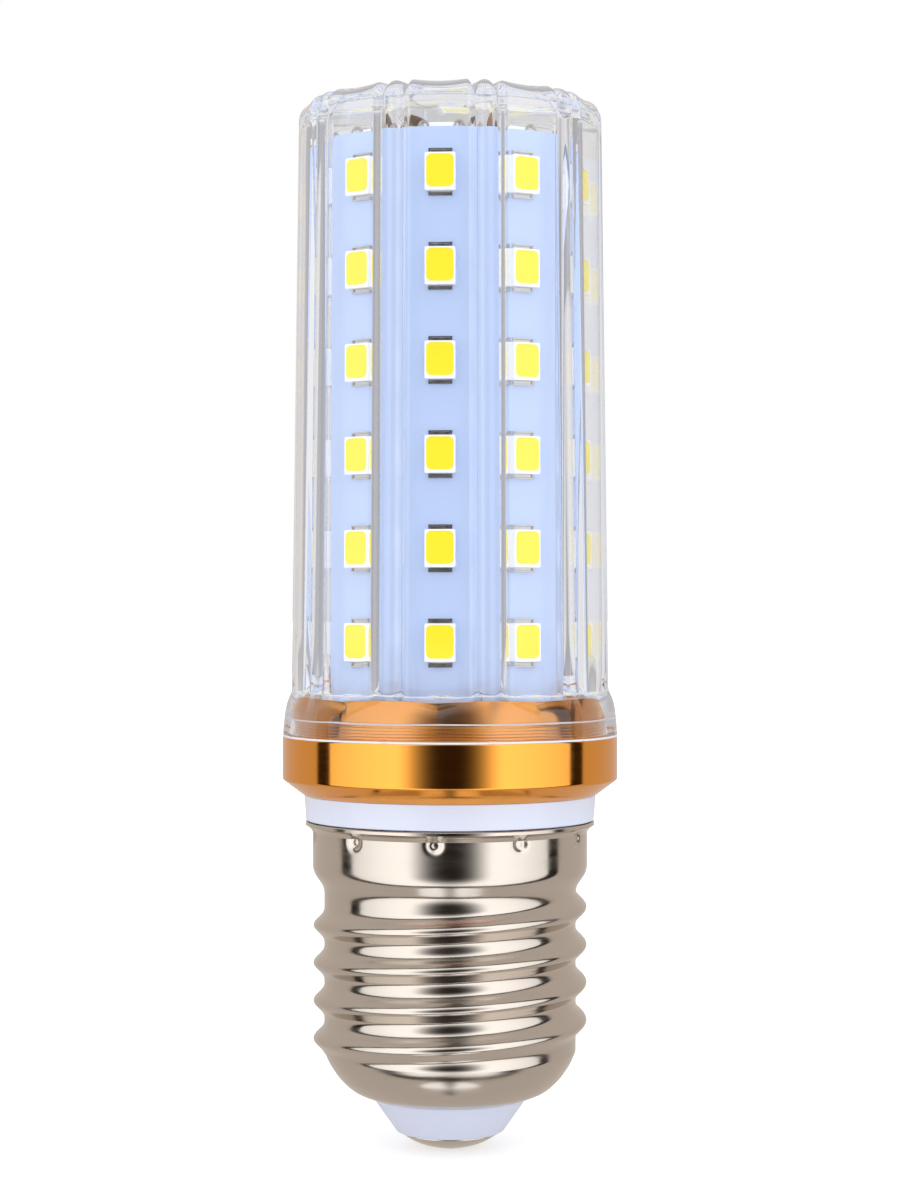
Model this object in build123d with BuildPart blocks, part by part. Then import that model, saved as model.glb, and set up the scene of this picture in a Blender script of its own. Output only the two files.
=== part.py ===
"""An LED screw lamp: ten diode boards stand in a ring under a clear fluted cover, on a turned
aluminium collar, a white driver housing and a nickel-plated screw cap.

Units are millimetres. The origin is the lowest point of the centre contact, and +Z runs from
the cap to the crown of the cover. The first board faces -Y.
"""

from build123d import *
from math import atan2, cos, degrees, hypot, radians, sin, sqrt, tan
import os

os.makedirs("parts", exist_ok=True)

# Column of diode boards
board_count = 10
board_apothem = 12.1
board_thickness = 1.0
board_length = 55.0
board_joint_gap = 0.08
diode_rows = 6
first_diode_height = 7.7
last_diode_inset = 4.2

# Surface-mounted diode
diode_width = 2.8
diode_length = 3.5
diode_thickness = 0.8
phosphor_width = 2.5
phosphor_length = 3.05
phosphor_shift = 0.08
phosphor_depth = 0.35
terminal_width = 2.2
terminal_reach = 0.45
terminal_thickness = 0.25

# Top board with an outer ring and an inner ring of diodes
top_board_gap = 0.08
top_ring_count = 8
top_ring_radius = 7.9
top_middle_count = 4
top_middle_radius = 3.4
solder_offset = 1.6
solder_radius = 0.6
solder_height = 0.4
solder_sides = 8
solder_taper = 35

# Clear cover
cover_clearance = 0.27
crown_rise = 4.3
crown_rounding = 1.6
crown_steps = 4
crown_thickness = 1.4
cover_draft = 0.72
flute_depth = 0.6
valley_wall = 0.7
window_half_angle = 8.5
rib_half_angle = 4.5
valley_half_angle = 11.0
flute_foot_height = 3.0
flange_wall = 1.1
flange_bore_gap = 0.1
# The flange's shoulder: each point's inset from the flange and its height over the flange's bore
shoulder_profile = ((0.1, -2.7), (0.25, -1.3), (0.6, -0.2), (1.8, 1.3))

# Turned aluminium collar
collar_ring_height = 3.4
collar_chamfer_height = 2.2
collar_foot_width = 0.8
sleeve_clearance = 1.18
sleeve_height = 4.3
sleeve_top_gap = 0.2
sleeve_relief = 0.15
sleeve_relief_height = 1.7
sleeve_wall = 1.0
collar_floor_thickness = 1.5
collar_floor_rise = 1.7
wire_hole_radius = 4.0

# White driver housing
neck_setback = 0.06
neck_flare = 0.19
neck_ledge = 0.78
neck_height = 2.2
spigot_top_gap = 0.6
housing_skirt_gap = 0.05
housing_wall = 1.0
rib_thickness = 0.8
rib_reach = 1.4
rib_slot_gap = 0.1

# Screw cap shell
skirt_radius = 13.2
rim_flare_width = 0.7
rim_height = 31.4
rim_flare_height = 1.0
skirt_foot_height = 26.6
skirt_cone_height = 1.6
thread_major_radius = 13.15
thread_root_radius = 12.1
thread_pitch = 3.629
thread_crest_width = 0.9
thread_root_width = 0.9
thread_bury = 0.15
thread_fade_bury = 0.1
thread_low = 9.3
thread_crest_drop = 0.68
dome_height = 4.9
dome_radius = 7.6
# The dome's bends, as shares of its way in and of its way down from the thread's foot
dome_bends = ((0.08, 0.2), (0.2, 0.41), (0.38, 0.64), (0.63, 0.85))
sheet_thickness = 0.3
crimp_count = 10
crimp_start_angle = -2.3
crimp_drop = 1.2
crimp_radius = 0.5
crimp_depth = 0.25
crimp_taper = 30

# White insulator and centre contact
insulator_foot_radius = 5.1
insulator_foot_height = 1.5
insulator_gap = 0.1
insulator_lip_reach = 1.4
insulator_lip_thickness = 1.4
contact_radius = 4.7
contact_flat_radius = 1.4
contact_dome_height = 1.4
contact_bend_radius = 3.6
contact_bend_height = 0.55
contact_stem_radius = 1.1
contact_stem_rise = 0.5

# Driver inside the housing
driver_board_thickness = 1.2
driver_board_rise = 1.6
driver_board_length = 24.0
driver_board_gap = 0.1
rectifier_size = (4.7, 3.9, 1.6)
rectifier_rise = 6.0
chip_size = (4.9, 3.9, 1.5)
chip_rise = 19.0
capacitor_gap = 0.5
capacitor_length = 11.0
capacitor_rise = 16.5
inductor_radius = 3.5
inductor_waist_radius = 2.4
inductor_flange = 1.0
inductor_height = 6.0
inductor_place = (3.6, 6.5)
fuse_radius = 1.2
fuse_length = 6.0
fuse_place = (-5.2, 6.0)
wire_radius = 0.5
led_wire_spacing = 3.0
seat_gap = 0.05

# Heights that follow from the pieces below them
neck_foot_z = rim_height + 2 * seat_gap
collar_foot_z = neck_foot_z + neck_height
collar_ring_z = collar_foot_z + collar_chamfer_height
cover_foot_z = collar_ring_z + collar_ring_height
board_foot_z = cover_foot_z + collar_floor_rise
board_top_z = board_foot_z + board_length
crown_z = board_top_z + crown_rise
floor_underside_z = board_foot_z - collar_floor_thickness
spigot_top_z = floor_underside_z - spigot_top_gap
neutral_wire_z = thread_low + wire_radius
housing_foot_z = neutral_wire_z + wire_radius + driver_board_gap
driver_foot_z = housing_foot_z + driver_board_rise

# Radii that follow from their neighbours
board_step = 360 / board_count
first_board_angle = -90.0
board_corner_radius = board_apothem / cos(radians(board_step / 2))
cavity_radius = hypot(board_apothem + diode_thickness, diode_width / 2) + cover_clearance
crown_radius = cavity_radius + valley_wall + flute_depth
sleeve_bore_radius = board_corner_radius + sleeve_clearance
sleeve_radius = sleeve_bore_radius + sleeve_wall
flange_bore_radius = sleeve_radius + flange_bore_gap
collar_radius = flange_bore_radius + flange_wall
rim_radius = skirt_radius + rim_flare_width
neck_foot_radius = rim_radius - neck_setback
neck_radius = neck_foot_radius + neck_flare
spigot_radius = neck_radius - neck_ledge
collar_bore_radius = spigot_radius + seat_gap
shell_bore_radius = thread_root_radius - sheet_thickness
skirt_bore_radius = skirt_radius - sheet_thickness
housing_skirt_radius = skirt_bore_radius - housing_skirt_gap
housing_tube_radius = shell_bore_radius - housing_skirt_gap
housing_bore_radius = housing_tube_radius - housing_wall
draft_slope = tan(radians(cover_draft))


def polar(radius, angle):
    """A point in a horizontal plane, from its distance to the axis and its angle in degrees."""
    return (radius * cos(radians(angle)), radius * sin(radians(angle)))


def board_angle(index):
    return first_board_angle + index * board_step


def board_plane(index):
    """The outer face of one board: local X runs along its width, local Y up, Z outwards."""
    angle = board_angle(index)
    return Plane(
        origin=(*polar(board_apothem, angle), board_foot_z),
        x_dir=(*polar(1, angle + 90), 0),
        z_dir=(*polar(1, angle), 0),
    )


def cover_growth(height):
    """How much wider the drafted cover is at a height than at its crown."""
    return (crown_z - height) * draft_slope


def flute_points(growth):
    """Corners of the cover's outline at one height: a wide window before each board, and a
    narrow rib between two windows, parted by shallow valleys."""
    ridge = crown_radius + growth
    valley = ridge - flute_depth
    half = board_step / 2
    points = []
    for index in range(board_count):
        centre = board_angle(index)
        points.append(polar(ridge, centre - window_half_angle))
        points.append(polar(ridge, centre + window_half_angle))
        points.append(polar(valley, centre + valley_half_angle))
        points.append(polar(ridge, centre + half - rib_half_angle))
        points.append(polar(ridge, centre + half + rib_half_angle))
        points.append(polar(valley, centre + board_step - valley_half_angle))
    return points


# Cover: moulded clear plastic, fluted outside and smooth inside, closed at the crown
flute_foot_z = cover_foot_z + flute_foot_height
cover_cavity_top_z = crown_z - crown_thickness
cover_step_z = cover_foot_z + sleeve_height + sleeve_top_gap

with BuildPart() as cover:
    with BuildSketch(Plane.XY.offset(flute_foot_z)):
        Polygon(*flute_points(cover_growth(flute_foot_z)), align=None)
    for step in range(crown_steps + 1):
        turn = radians(90 * step / crown_steps)
        inset = crown_rounding * (1 - cos(turn))
        rise = crown_rounding * (1 - sin(turn))
        with BuildSketch(Plane.XY.offset(crown_z - rise)):
            Polygon(*flute_points(-inset), align=None)
    loft(ruled=True)
    with BuildSketch(Plane.XZ):
        shoulder = [(collar_radius - inset, cover_step_z + rise) for inset, rise in shoulder_profile]
        shoulder_top = (0, shoulder[-1][1])
        Polygon(shoulder_top, (0, cover_foot_z), (collar_radius, cover_foot_z), *shoulder, align=None)
    revolve(axis=Axis.Z)
    with BuildSketch(Plane.XZ):
        Polygon(
            (0, cover_foot_z),
            (flange_bore_radius, cover_foot_z),
            (flange_bore_radius, cover_step_z),
            (cavity_radius, cover_step_z),
            (cavity_radius, cover_cavity_top_z - crown_rounding),
            (cavity_radius - crown_rounding, cover_cavity_top_z),
            (0, cover_cavity_top_z),
            align=None,
        )
    revolve(axis=Axis.Z, mode=Mode.SUBTRACT)
cover.part.label = "cover"
export_step(cover.part, "parts/cover.step")

# Collar: turned from aluminium, with a reduced sleeve inside the cover and a floor for the boards
sleeve_top_z = cover_foot_z + sleeve_height
relief_radius = sleeve_radius - sleeve_relief
relief_top_z = cover_foot_z + sleeve_relief_height
with BuildPart() as collar:
    with BuildSketch(Plane.XZ):
        with BuildLine():
            Polyline(
                (collar_bore_radius, collar_foot_z),
                (collar_bore_radius + collar_foot_width, collar_foot_z),
                (collar_radius, collar_ring_z),
                (collar_radius, cover_foot_z),
                (relief_radius, cover_foot_z),
                (relief_radius, relief_top_z),
                (sleeve_radius, relief_top_z),
                (sleeve_radius, sleeve_top_z),
                (sleeve_bore_radius, sleeve_top_z),
                (sleeve_bore_radius, board_foot_z),
                (wire_hole_radius, board_foot_z),
                (wire_hole_radius, floor_underside_z),
                (collar_bore_radius, floor_underside_z),
                close=True,
            )
        make_face()
    revolve(axis=Axis.Z)
collar.part.label = "collar"
export_step(collar.part, "parts/collar.step")

# Driver housing: white moulding, its neck between the collar and the cap, its tube inside the cap
skirt_cone_z = skirt_foot_height - skirt_cone_height
slot_half = driver_board_thickness / 2 + rib_slot_gap
rib_radius = housing_bore_radius - rib_reach
with BuildPart() as housing:
    with BuildSketch(Plane.XZ):
        with BuildLine():
            Polyline(
                (housing_bore_radius, housing_foot_z),
                (housing_tube_radius, housing_foot_z),
                (housing_tube_radius, skirt_cone_z),
                (housing_skirt_radius, skirt_foot_height),
                (housing_skirt_radius, neck_foot_z),
                (neck_foot_radius, neck_foot_z),
                (neck_radius, collar_foot_z),
                (spigot_radius, collar_foot_z),
                (spigot_radius, spigot_top_z),
                (housing_bore_radius, spigot_top_z),
                close=True,
            )
        make_face()
    revolve(axis=Axis.Z)
    with BuildSketch(Plane.XY.offset(driver_foot_z)):
        rib_length = rib_reach + housing_wall / 2
        rib_x = rib_radius + rib_length / 2
        rib_y = slot_half + rib_thickness / 2
        with Locations((rib_x, rib_y), (rib_x, -rib_y), (-rib_x, rib_y), (-rib_x, -rib_y)):
            Rectangle(rib_length, rib_thickness)
    extrude(amount=driver_board_length)
housing.part.label = "housing"
export_step(housing.part, "parts/housing.step")


def cap_body(inset):
    """The cap shell's turned form without its thread, drawn in by the inset on every side."""
    with BuildPart() as body:
        with BuildSketch(Plane.XZ):
            with BuildLine():
                rim = (rim_radius - inset, rim_height)
                skirt_top = (skirt_radius - inset, rim_height - rim_flare_height)
                skirt_foot = (skirt_radius - inset, skirt_foot_height)
                root_top = (thread_root_radius - inset, skirt_cone_z)
                root_foot = (thread_root_radius - inset, thread_low)
                dome_foot = (dome_radius, dome_height + inset)
                way_in = root_foot[0] - dome_foot[0]
                way_down = root_foot[1] - dome_foot[1]
                bends = [
                    (root_foot[0] - inwards * way_in, root_foot[1] - down * way_down)
                    for inwards, down in dome_bends
                ]
                wall = [rim, skirt_top, skirt_foot, root_top, root_foot, *bends, dome_foot]
                Polyline((0, dome_foot[1]), (0, rim_height), *wall, close=True)
            make_face()
        revolve(axis=Axis.Z)
    return body.part


# Cap shell: nickel-plated sheet, rolled into a screw thread and crimped to the housing
thread_base_radius = thread_root_radius - thread_bury
thread_start_z = thread_low - thread_crest_drop
thread_height = skirt_cone_z + thread_crest_drop - thread_start_z
fade_low_z = thread_low + sheet_thickness
fade_high_z = skirt_cone_z - sheet_thickness
fade_radius = thread_root_radius - thread_fade_bury
limit_radius = thread_major_radius + sheet_thickness
with BuildPart() as thread_limit:
    with BuildSketch(Plane.XZ):
        Polygon(
            (0, fade_low_z),
            (fade_radius, fade_low_z),
            (limit_radius, fade_low_z + thread_pitch / 2),
            (limit_radius, fade_high_z - thread_pitch / 2),
            (fade_radius, fade_high_z),
            (0, fade_high_z),
            align=None,
        )
    revolve(axis=Axis.Z)

with BuildPart() as thread:
    with BuildLine():
        Helix(thread_pitch, thread_height, thread_base_radius, center=(0, 0, thread_start_z))
    with BuildSketch(Plane.XZ):
        base_half = (thread_pitch - thread_root_width) / 2
        crest_half = thread_crest_width / 2
        Polygon(
            (thread_base_radius, thread_start_z - base_half),
            (thread_major_radius, thread_start_z - crest_half),
            (thread_major_radius, thread_start_z + crest_half),
            (thread_base_radius, thread_start_z + base_half),
            align=None,
        )
    sweep(is_frenet=True)
    add(thread_limit.part, mode=Mode.INTERSECT)

cap_outside = cap_body(0)
cap_inside = cap_body(sheet_thickness)
with BuildPart() as cap_shell:
    add(cap_outside)
    add(thread.part)
    add(cap_inside, mode=Mode.SUBTRACT)
    with BuildSketch(Plane.XY.offset(dome_height)):
        Circle(dome_radius)
    extrude(amount=sheet_thickness, mode=Mode.SUBTRACT)
    for index in range(crimp_count):
        angle = first_board_angle + crimp_start_angle + index * 360 / crimp_count
        crimp_face = Plane(
            origin=(*polar(skirt_radius, angle), rim_height - crimp_drop),
            x_dir=(*polar(1, angle + 90), 0),
            z_dir=(*polar(1, angle), 0),
        )
        with BuildSketch(crimp_face.offset(rim_flare_width)):
            Circle(crimp_radius + rim_flare_width * tan(radians(crimp_taper)))
        extrude(amount=-rim_flare_width - crimp_depth, taper=crimp_taper, mode=Mode.SUBTRACT)
cap_shell.part.label = "cap_shell"
export_step(cap_shell.part, "parts/cap_shell.step")

# Insulator: white cone that closes the shell's open dome, with a lip inside it
insulator_hole_radius = dome_radius - insulator_gap
insulator_seat_z = dome_height + sheet_thickness + insulator_gap
lip_top_z = insulator_seat_z + insulator_lip_thickness
lip_radius = dome_radius + insulator_lip_reach
with BuildPart() as cap_insulator:
    with BuildSketch(Plane.XZ):
        with BuildLine():
            Polyline(
                (contact_stem_radius, insulator_foot_height),
                (insulator_foot_radius, insulator_foot_height),
                (insulator_hole_radius, dome_height),
                (insulator_hole_radius, insulator_seat_z),
                (lip_radius, lip_top_z),
                (contact_stem_radius, lip_top_z),
                close=True,
            )
        make_face()
    revolve(axis=Axis.Z)
cap_insulator.part.label = "cap_insulator"
export_step(cap_insulator.part, "parts/cap_insulator.step")

# Centre contact: domed nickel button with a rivet stem through the insulator
contact_stem_z = lip_top_z + contact_stem_rise
with BuildPart() as centre_contact:
    with BuildSketch(Plane.XZ):
        with BuildLine():
            Polyline(
                (contact_radius, contact_dome_height),
                (contact_radius, insulator_foot_height),
                (contact_stem_radius, insulator_foot_height),
                (contact_stem_radius, contact_stem_z),
                (0, contact_stem_z),
                (0, 0),
                (contact_flat_radius, 0),
                (contact_bend_radius, contact_bend_height),
                close=True,
            )
        make_face()
    revolve(axis=Axis.Z)
centre_contact.part.label = "centre_contact"
export_step(centre_contact.part, "parts/centre_contact.step")

# Diode boards: aluminium-core strips with mitred edges, standing on the collar's floor
board_inner_apothem = board_apothem - board_thickness
half_side = tan(radians(board_step / 2))
outer_half_width = board_apothem * half_side - board_joint_gap / 2
inner_half_width = board_inner_apothem * half_side - board_joint_gap / 2
diode_pitch = (board_length - first_diode_height - last_diode_inset) / (diode_rows - 1)
diode_heights = [first_diode_height + row * diode_pitch for row in range(diode_rows)]
terminal_offset = (diode_length + terminal_reach) / 2

for index in range(board_count):
    number = f"{index + 1:02d}"
    face = board_plane(index)
    angle = board_angle(index)
    along = Plane(
        origin=(0, 0, board_foot_z),
        x_dir=(*polar(1, angle), 0),
        z_dir=(0, 0, 1),
    )

    with BuildPart() as led_board:
        with BuildSketch(along):
            Polygon(
                (board_inner_apothem, -inner_half_width),
                (board_apothem, -outer_half_width),
                (board_apothem, outer_half_width),
                (board_inner_apothem, inner_half_width),
                align=None,
            )
        extrude(amount=board_length)
    led_board.part.label = f"led_board_{number}"
    export_step(led_board.part, f"parts/led_board_{number}.step")

    with BuildPart() as led_bodies:
        with BuildSketch(face):
            with Locations(*[(0, height) for height in diode_heights]):
                Rectangle(diode_width, diode_length)
        extrude(amount=diode_thickness)
        with BuildSketch(face.offset(diode_thickness)):
            with Locations(*[(0, height + phosphor_shift) for height in diode_heights]):
                Rectangle(phosphor_width, phosphor_length)
        extrude(amount=-phosphor_depth, mode=Mode.SUBTRACT)
    led_bodies.part.label = f"led_bodies_{number}"
    export_step(led_bodies.part, f"parts/led_bodies_{number}.step")

    with BuildPart() as led_phosphor:
        with BuildSketch(face.offset(diode_thickness)):
            with Locations(*[(0, height + phosphor_shift) for height in diode_heights]):
                Rectangle(phosphor_width, phosphor_length)
        extrude(amount=-phosphor_depth)
    led_phosphor.part.label = f"led_phosphor_{number}"
    export_step(led_phosphor.part, f"parts/led_phosphor_{number}.step")

    with BuildPart() as led_terminals:
        with BuildSketch(face):
            for height in diode_heights:
                with Locations((0, height - terminal_offset), (0, height + terminal_offset)):
                    Rectangle(terminal_width, terminal_reach)
        extrude(amount=terminal_thickness)
    led_terminals.part.label = f"led_terminals_{number}"
    export_step(led_terminals.part, f"parts/led_terminals_{number}.step")

# Top board: a ten-sided plate inside the ring of boards, flush with their ends
top_board_apothem = board_inner_apothem - top_board_gap
top_board_radius = top_board_apothem / cos(radians(board_step / 2))
led_wire_places = ((-led_wire_spacing / 2, 0), (led_wire_spacing / 2, 0))
with BuildPart() as top_board:
    with BuildSketch(Plane.XY.offset(board_top_z)):
        RegularPolygon(top_board_radius, board_count, rotation=first_board_angle + board_step / 2)
        with Locations(*led_wire_places):
            Circle(wire_radius + seat_gap, mode=Mode.SUBTRACT)
    extrude(amount=-board_thickness)
top_board.part.label = "top_board"
export_step(top_board.part, "parts/top_board.step")


def top_plane(radius, angle):
    """A place on the top board, with local Y pointing away from the axis."""
    return Plane(
        origin=(*polar(radius, angle), board_top_z),
        x_dir=(*polar(1, angle - 90), 0),
        z_dir=(0, 0, 1),
    )


outer_ring = [top_plane(top_ring_radius, first_board_angle + 360 / top_ring_count * k)
              for k in range(top_ring_count)]
middle_ring = [top_plane(top_middle_radius, first_board_angle + 360 / top_middle_count * (k + 0.5))
               for k in range(top_middle_count)]
top_places = outer_ring + middle_ring

with BuildPart() as top_led_bodies:
    for place in top_places:
        with BuildSketch(place):
            Rectangle(diode_width, diode_length)
        extrude(amount=diode_thickness)
        with BuildSketch(place.offset(diode_thickness)):
            Rectangle(phosphor_width, phosphor_length)
        extrude(amount=-phosphor_depth, mode=Mode.SUBTRACT)
top_led_bodies.part.label = "top_led_bodies"
export_step(top_led_bodies.part, "parts/top_led_bodies.step")

with BuildPart() as top_led_phosphor:
    for place in top_places:
        with BuildSketch(place.offset(diode_thickness)):
            Rectangle(phosphor_width, phosphor_length)
        extrude(amount=-phosphor_depth)
top_led_phosphor.part.label = "top_led_phosphor"
export_step(top_led_phosphor.part, "parts/top_led_phosphor.step")

with BuildPart() as top_led_terminals:
    for place in top_places:
        with BuildSketch(place):
            with Locations((0, -terminal_offset), (0, terminal_offset)):
                Rectangle(terminal_width, terminal_reach)
        extrude(amount=terminal_thickness)
top_led_terminals.part.label = "top_led_terminals"
export_step(top_led_terminals.part, "parts/top_led_terminals.step")

# Solder joints between the top board and each of the boards around it
with BuildPart() as board_solder:
    for index in range(board_count):
        angle = board_angle(index)
        for side in (-1, 1):
            reach = hypot(board_inner_apothem, solder_offset)
            turn = degrees(atan2(side * solder_offset, board_inner_apothem))
            with BuildSketch(Plane(origin=(*polar(reach, angle + turn), board_top_z))):
                RegularPolygon(solder_radius, solder_sides)
            extrude(amount=solder_height, taper=solder_taper)
board_solder.part.label = "board_solder"
export_step(board_solder.part, "parts/board_solder.step")

# Driver board: stands in the housing between its guide ribs
driver_face_y = driver_board_thickness / 2
driver_half_width = sqrt(housing_bore_radius**2 - driver_face_y**2) - driver_board_gap
driver_front = Plane(origin=(0, -driver_face_y, 0), x_dir=(1, 0, 0), z_dir=(0, -1, 0))
driver_back = Plane(origin=(0, driver_face_y, 0), x_dir=(-1, 0, 0), z_dir=(0, 1, 0))
driver_middle_z = driver_foot_z + driver_board_length / 2
with BuildPart() as driver_board:
    with BuildSketch(driver_front):
        with Locations((0, driver_middle_z)):
            Rectangle(2 * driver_half_width, driver_board_length)
    extrude(amount=-driver_board_thickness)
driver_board.part.label = "driver_board"
export_step(driver_board.part, "parts/driver_board.step")

# Rectifier and driver chip: flat packages on the back of the driver board
with BuildPart() as rectifier:
    with BuildSketch(driver_back):
        with Locations((0, driver_foot_z + rectifier_rise)):
            Rectangle(rectifier_size[0], rectifier_size[1])
    extrude(amount=rectifier_size[2])
rectifier.part.label = "rectifier"
export_step(rectifier.part, "parts/rectifier.step")

with BuildPart() as driver_chip:
    with BuildSketch(driver_back):
        with Locations((0, driver_foot_z + chip_rise)):
            Rectangle(chip_size[0], chip_size[1])
    extrude(amount=chip_size[2])
driver_chip.part.label = "driver_chip"
export_step(driver_chip.part, "parts/driver_chip.step")

# Smoothing capacitor: a can that lies across the front of the driver board
capacitor_reach = sqrt((housing_bore_radius - capacitor_gap) ** 2 - (capacitor_length / 2) ** 2)
capacitor_radius = (capacitor_reach - driver_face_y - seat_gap) / 2
capacitor_y = -driver_face_y - seat_gap - capacitor_radius
capacitor_axis = Plane(
    origin=(-capacitor_length / 2, capacitor_y, driver_foot_z + capacitor_rise),
    x_dir=(0, 1, 0),
    z_dir=(1, 0, 0),
)
with BuildPart() as smoothing_capacitor:
    with BuildSketch(capacitor_axis):
        Circle(capacitor_radius)
    extrude(amount=capacitor_length)
smoothing_capacitor.part.label = "smoothing_capacitor"
export_step(smoothing_capacitor.part, "parts/smoothing_capacitor.step")

# Inductor: a wound drum core on the front of the driver board
with BuildPart() as inductor:
    with BuildSketch(driver_front):
        with Locations((inductor_place[0], driver_foot_z + inductor_place[1])):
            Circle(inductor_radius)
    extrude(amount=inductor_flange)
    with BuildSketch(driver_front.offset(inductor_flange)):
        with Locations((inductor_place[0], driver_foot_z + inductor_place[1])):
            Circle(inductor_waist_radius)
    extrude(amount=inductor_height - 2 * inductor_flange)
    with BuildSketch(driver_front.offset(inductor_height - inductor_flange)):
        with Locations((inductor_place[0], driver_foot_z + inductor_place[1])):
            Circle(inductor_radius)
    extrude(amount=inductor_flange)
inductor.part.label = "inductor"
export_step(inductor.part, "parts/inductor.step")

# Fusible resistor: a small cylinder that lies on the front of the driver board
fuse_foot_z = driver_foot_z + fuse_place[1] - fuse_length / 2
fuse_axis = Plane(
    origin=(fuse_place[0], -driver_face_y - fuse_radius - seat_gap, fuse_foot_z),
    z_dir=(0, 0, 1),
)
with BuildPart() as fuse_resistor:
    with BuildSketch(fuse_axis):
        Circle(fuse_radius)
    extrude(amount=fuse_length)
fuse_resistor.part.label = "fuse_resistor"
export_step(fuse_resistor.part, "parts/fuse_resistor.step")

# Live wire: from the contact's stem up to the foot of the driver board
with BuildPart() as live_wire:
    with BuildSketch(Plane.XY.offset(contact_stem_z)):
        Circle(wire_radius)
    extrude(amount=driver_foot_z - contact_stem_z)
live_wire.part.label = "live_wire"
export_step(live_wire.part, "parts/live_wire.step")

# Neutral wire: from the foot of the driver board out to the inside of the shell's dome
neutral_start = (-driver_half_width / 2, 0, driver_foot_z)
neutral_corner = (neutral_start[0], 0, neutral_wire_z)
neutral_end = (seat_gap - shell_bore_radius, 0, neutral_wire_z)
with BuildPart() as neutral_wire:
    with BuildLine():
        Polyline(neutral_start, neutral_corner, neutral_end)
    with BuildSketch(Plane(origin=neutral_start, z_dir=(0, 0, -1))):
        Circle(wire_radius)
    sweep(transition=Transition.RIGHT)
neutral_wire.part.label = "neutral_wire"
export_step(neutral_wire.part, "parts/neutral_wire.step")

# Two wires from the driver board up through the collar to the top board
driver_top_z = driver_foot_z + driver_board_length
with BuildPart() as led_wires:
    with BuildSketch(Plane.XY.offset(driver_top_z)):
        with Locations(*led_wire_places):
            Circle(wire_radius)
    extrude(amount=board_top_z - driver_top_z)
led_wires.part.label = "led_wires"
export_step(led_wires.part, "parts/led_wires.step")
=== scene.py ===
"""Dresses a screw-cap LED lamp: nickel cap, white housing, gold collar, ten boards of diodes and a
clear fluted cover, on a plain pale floor. Heights and radii are in millimetres, meshes in metres.
"""

from math import atan2, cos, hypot, pi, radians, sin, tan

import bmesh
import bpy
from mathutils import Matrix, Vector


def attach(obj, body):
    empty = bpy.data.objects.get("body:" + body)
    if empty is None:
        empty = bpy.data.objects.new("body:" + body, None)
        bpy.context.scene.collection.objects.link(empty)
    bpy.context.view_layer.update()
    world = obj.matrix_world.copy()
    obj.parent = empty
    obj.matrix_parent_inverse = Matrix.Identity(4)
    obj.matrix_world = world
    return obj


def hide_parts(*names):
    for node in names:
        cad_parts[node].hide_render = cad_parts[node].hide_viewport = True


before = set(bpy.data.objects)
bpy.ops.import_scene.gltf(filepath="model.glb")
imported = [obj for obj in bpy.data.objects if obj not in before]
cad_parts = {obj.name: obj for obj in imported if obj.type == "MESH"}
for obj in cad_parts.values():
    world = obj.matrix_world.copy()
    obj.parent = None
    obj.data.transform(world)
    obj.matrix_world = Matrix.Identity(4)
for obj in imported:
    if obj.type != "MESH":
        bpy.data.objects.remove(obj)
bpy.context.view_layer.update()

# Centre contact
# A domed button pressed from brass strip and nickel plated. Its rivet stem holds it to the
# insulator, and the live wire is soldered into the stem.
MM = 0.001
contact_radius = 4.7
contact_flat = 1.4
contact_rise = 1.4
contact_bend = (3.6, 0.55)
contact_thickness = 0.1
stem_radius = 1.1
stem_top = 7.2
turned_columns = 160


def arc_points(centre, radius, start, end, steps):
    """Points of a round stretch of an outline, with its angles in degrees."""
    turns = [radians(start + (end - start) * step / steps) for step in range(steps + 1)]
    return [(centre[0] + radius * cos(turn), centre[1] + radius * sin(turn)) for turn in turns]


def softened(outline, radius, steps=3):
    """A closed outline with every corner rounded, less where its sides are short.

    A point just beside each round keeps the flats beside it shaded flat.
    """
    points = []
    count = len(outline)
    for index, corner in enumerate(outline):
        before = outline[index - 1]
        after = outline[(index + 1) % count]
        reach_in = hypot(before[0] - corner[0], before[1] - corner[1])
        reach_out = hypot(after[0] - corner[0], after[1] - corner[1])
        cut = min(radius, 0.4 * reach_in, 0.4 * reach_out)
        start = [corner[k] + (before[k] - corner[k]) * cut / reach_in for k in (0, 1)]
        end = [corner[k] + (after[k] - corner[k]) * cut / reach_out for k in (0, 1)]
        points.append(tuple(corner[k] + 1.2 * (start[k] - corner[k]) for k in (0, 1)))
        for step in range(steps + 1):
            t = step / steps
            blend = ((1 - t) ** 2, 2 * t * (1 - t), t**2)
            points.append(tuple(
                blend[0] * start[k] + blend[1] * corner[k] + blend[2] * end[k] for k in (0, 1)
            ))
        points.append(tuple(corner[k] + 1.2 * (end[k] - corner[k]) for k in (0, 1)))
    return points


def eased_corner(before, corner, after, cut, steps=6):
    """A round between two straight stretches of an outline."""
    reach_in = hypot(before[0] - corner[0], before[1] - corner[1])
    reach_out = hypot(after[0] - corner[0], after[1] - corner[1])
    start = [corner[k] + (before[k] - corner[k]) * cut / reach_in for k in (0, 1)]
    end = [corner[k] + (after[k] - corner[k]) * cut / reach_out for k in (0, 1)]
    points = []
    for step in range(steps + 1):
        t = step / steps
        points.append(
            tuple((1 - t) ** 2 * start[k] + 2 * t * (1 - t) * corner[k] + t**2 * end[k] for k in (0, 1))
        )
    return points


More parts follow.
